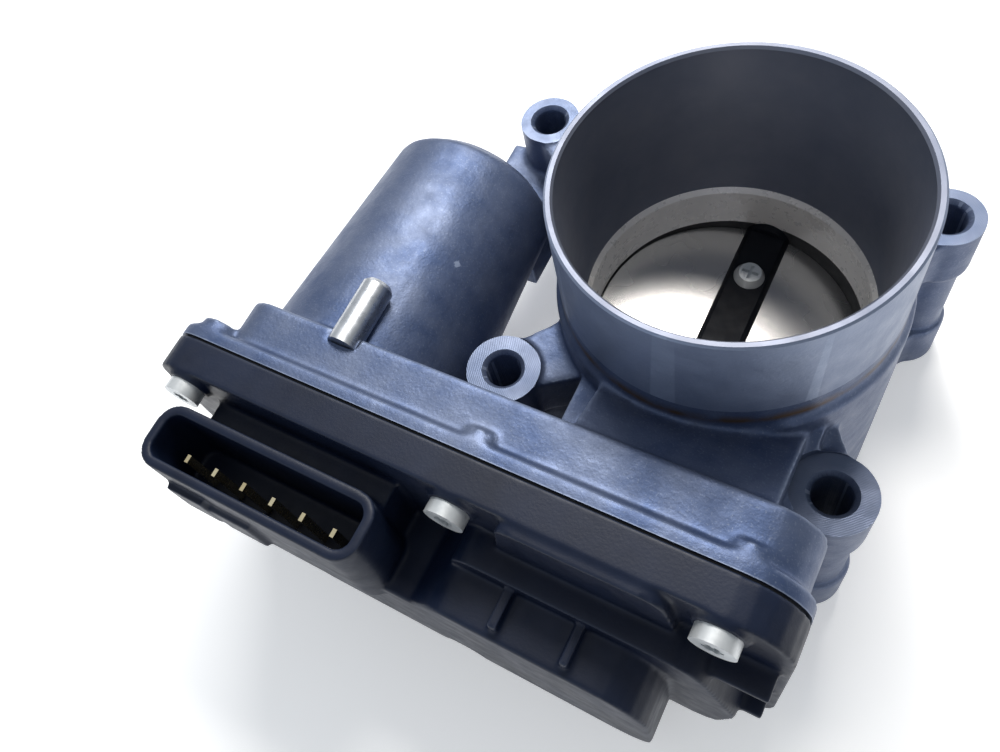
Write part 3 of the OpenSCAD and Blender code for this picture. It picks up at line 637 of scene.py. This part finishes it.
FACING = 0.999
FACE_TOLERANCE = 0.02 * MM
SHARP_ANGLE = math.radians(32)


def machine_faces(casting):
    """Cuts the engine flange face and the joint face of the gear case flat."""
    corner = -WELL_OUTSIDE
    under = box_tool("under", (corner, corner, UNDER_CUT_LOW), (WELL_OUTSIDE, WELL_OUTSIDE, 0))
    combine(casting, under, "DIFFERENCE")
    front = box_tool("front", (corner, corner, FAR_BELOW), (WELL_OUTSIDE, JOINT_Y, WELL_OUTSIDE))
    combine(casting, front, "DIFFERENCE")


def turn_rim(casting):
    """Adds the upper part of the inlet tube's outside as one turned solid with a chamfered rim."""
    rim = [
        (INLET_RADIUS - 0.3 * MM, SHOULDER_Z + 4 * MM),
        (INLET_RADIUS, SHOULDER_Z + 4.3 * MM),
        (INLET_RADIUS, RIM_Z - RIM_CHAMFER),
        (INLET_RADIUS - RIM_CHAMFER, RIM_Z),
    ]
    combine(casting, turned_tool("rim", rim), "UNION")


def turn_bore(casting):
    """Cuts the throttle bore, the step above it and the inlet, which widens towards the rim."""
    bore = [
        (BORE_RADIUS, -CUT_PAST),
        (BORE_RADIUS, STEP_Z),
        (BORE_RADIUS + STEP_CHAMFER_WIDTH, STEP_Z + STEP_CHAMFER_HEIGHT),
        (INLET_INNER_RADIUS, RIM_Z - 0.5 * MM),
        (INLET_INNER_RADIUS + 0.4 * MM, RIM_Z),
        (INLET_INNER_RADIUS + 0.4 * MM, RIM_Z + 4 * MM),
    ]
    combine(casting, turned_tool("bore", bore), "DIFFERENCE")


def drill_bolt_holes(casting):
    """Faces each lug and cuts its bolt hole, which opens out a little at the top."""
    hole = [
        (BOLT_RADIUS, -CUT_PAST),
        (BOLT_RADIUS, LUG_TOP_Z - 0.9 * MM),
        (BOLT_RADIUS + 1 * MM, LUG_TOP_Z + 0.1 * MM),
        (BOLT_RADIUS + 1 * MM, LUG_TOP_Z + CLEARANCE_ABOVE_LUG),
    ]
    for place in bolt_places():
        radius = FRONT_FACING_RADIUS if place.y < 0 else REAR_FACING_RADIUS
        face = [(radius, LUG_TOP_Z), (radius, LUG_TOP_Z + CLEARANCE_ABOVE_LUG)]
        combine(casting, turned_tool("lug_face", face, HOLE_STEPS, place), "DIFFERENCE")
        combine(casting, turned_tool("bolt_hole", hole, HOLE_STEPS, place), "DIFFERENCE")


def cut_shaft_passage(casting):
    """Cuts the sealing coat's recess in the bore and the shaft's hole across it."""
    recess = [(COAT_RADIUS, COAT_LOW.z), (COAT_RADIUS, COAT_HIGH.z)]
    combine(casting, turned_tool("coat_recess", recess), "DIFFERENCE")
    passage = [(SHAFT_HOLE_RADIUS, SHAFT_HOLE_START), (SHAFT_HOLE_RADIUS, SHAFT_HIGH.y + CUT_PAST)]
    hole = turned_tool("shaft_hole", passage, HOLE_STEPS, (0, 0, SHAFT_Z), "Y")
    combine(casting, hole, "DIFFERENCE")


def build_casting():
    """The casting: its cast skin is rounded all over, then its machined faces are cut crisp."""
    casting = loose_copy("body_casting", "casting")
    stretch_faces(casting, Y_AXIS, JOINT_Y, JOINT_Y - FACE_STOCK)
    stretch_faces(casting, Z_AXIS, 0, -FACE_STOCK)
    stretch_faces(casting, Z_AXIS, LUG_TOP_Z, LUG_TOP_Z + LUG_STOCK)
    plug_radius = INLET_RADIUS - PLUG_SHRINK
    plug = turned_tool("plug", [(plug_radius, 1 * MM), (plug_radius, RIM_Z)])
    combine(casting, plug, "UNION")
    round_edges(casting, CAST_VOXEL, CAST_SMOOTHING)
    machine_faces(casting)
    turn_rim(casting)
    turn_bore(casting)
    drill_bolt_holes(casting)
    cut_shaft_passage(casting)
    paint_casting(casting)
    return casting


def paint_casting(casting):
    """Gives each face its finish: cast skin, machined flat or turned bore."""
    mesh = casting.data
    mesh.materials.clear()
    for material in (look_of("casting"), machined_aluminium(), bore_aluminium(), throat_aluminium()):
        mesh.materials.append(material)
    cast, machined, bore, throat = range(4)
    for face in mesh.polygons:
        centre, normal = face.center, face.normal
        radius = math.hypot(centre.x, centre.y)
        face.use_smooth = True
        face.material_index = cast
        faces_axis = centre.x * normal.x + centre.y * normal.y < 0
        if normal.z > FACING and abs(centre.z - LUG_TOP_Z) < FACE_TOLERANCE:
            face.material_index = machined
        elif normal.z < -FACING and centre.z < FACE_TOLERANCE:
            face.material_index = machined
        elif normal.y < -FACING and abs(centre.y - JOINT_Y) < FACE_TOLERANCE:
            face.material_index = machined
        elif radius < INLET_INNER_RADIUS + 0.6 * MM and faces_axis:
            face.material_index = bore if centre.z > STEP_Z + STEP_CHAMFER_HEIGHT else throat
    mesh.set_sharp_from_angle(angle=SHARP_ANGLE)


# ---------- gear cover ----------

COVER_VOXEL = 0.4 * MM
COVER_SMOOTHING = 7


def build_cover():
    """The moulded cover, with all its edges lightly rounded."""
    cover = loose_copy("gear_cover", "cover")
    round_edges(cover, COVER_VOXEL, COVER_SMOOTHING)
    mesh = cover.data
    mesh.materials.clear()
    mesh.materials.append(look_of("cover"))
    for face in mesh.polygons:
        face.use_smooth = True
    return cover


def dress(piece, name, body, slot, *nodes):
    """Names a finished piece, hangs it on the empty of the body it rides on, and hides the CAD nodes it is
    shown in place of.
    """
    piece.name = name
    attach(piece, body)
    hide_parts(*nodes)


# ---------- the whole scene ----------

add_camera()
add_sky()
bpy.context.scene.view_settings.view_transform = "Standard"
add_lights()
add_floor()
dress_cad_nodes()
dress(build_casting(), "cast_housing", "housing", "casting", "body_casting")
dress(build_cover(), "moulded_cover", "housing", "cover", "gear_cover")
